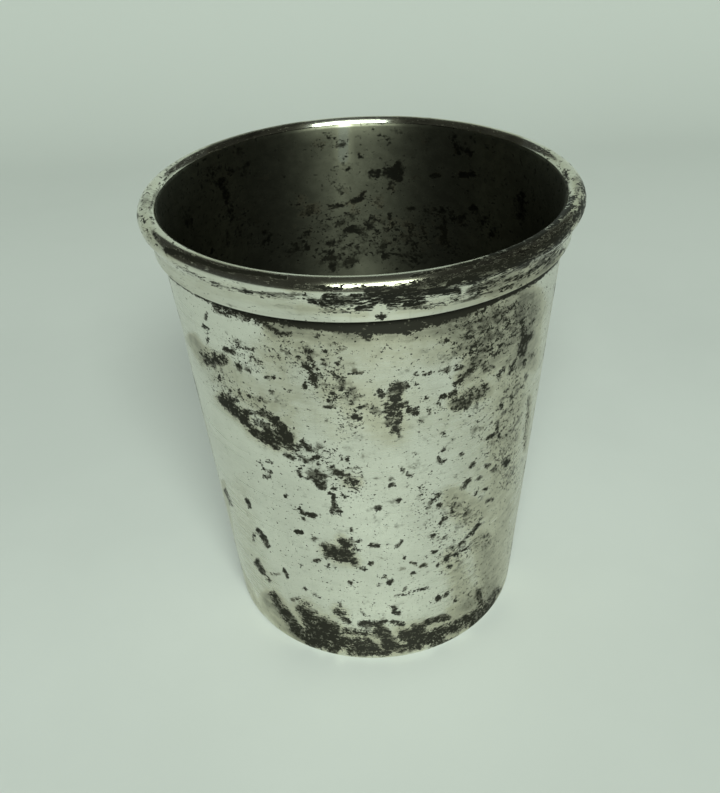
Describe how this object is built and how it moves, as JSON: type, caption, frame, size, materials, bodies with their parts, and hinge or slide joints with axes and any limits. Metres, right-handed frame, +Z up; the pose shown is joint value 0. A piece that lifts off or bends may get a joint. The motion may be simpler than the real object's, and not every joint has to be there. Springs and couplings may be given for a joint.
{
  "type": "drinking tumbler",
  "caption": "Plain tapered metal drinking tumbler with a flared collar rolled into a round lip, a flat soldered-in floor and a narrow standing hem.",
  "frame": {"origin": "centre of the foot on the table", "axes": "+Z up along the cup's axis, from the foot to the mouth; X and Y are alike, and the picture looks along +Y"},
  "size_m": [0.075, 0.075, 0.0875],
  "materials": {
    "worn_silver_plate": "spun silver plate worn thin, satin, with black tarnish spots and streaks",
    "polished_silver_plate": "rubbed silver plate, brighter than the wall, streaked with tarnish round the edge",
    "tarnished_silver_plate": "dull grey-brown tarnished plate inside the cup",
    "soft_solder": "dull grey soft solder, darkened",
    "brass_wire": "drawn wire, hidden inside the lip"
  },
  "bodies": {
    "root": {"cup_wall": "worn_silver_plate", "base_disc": "tarnished_silver_plate", "base_solder": "soft_solder", "rim_collar": "polished_silver_plate", "collar_solder": "soft_solder", "lip_wire": "brass_wire"}
  },
  "joints": []
}
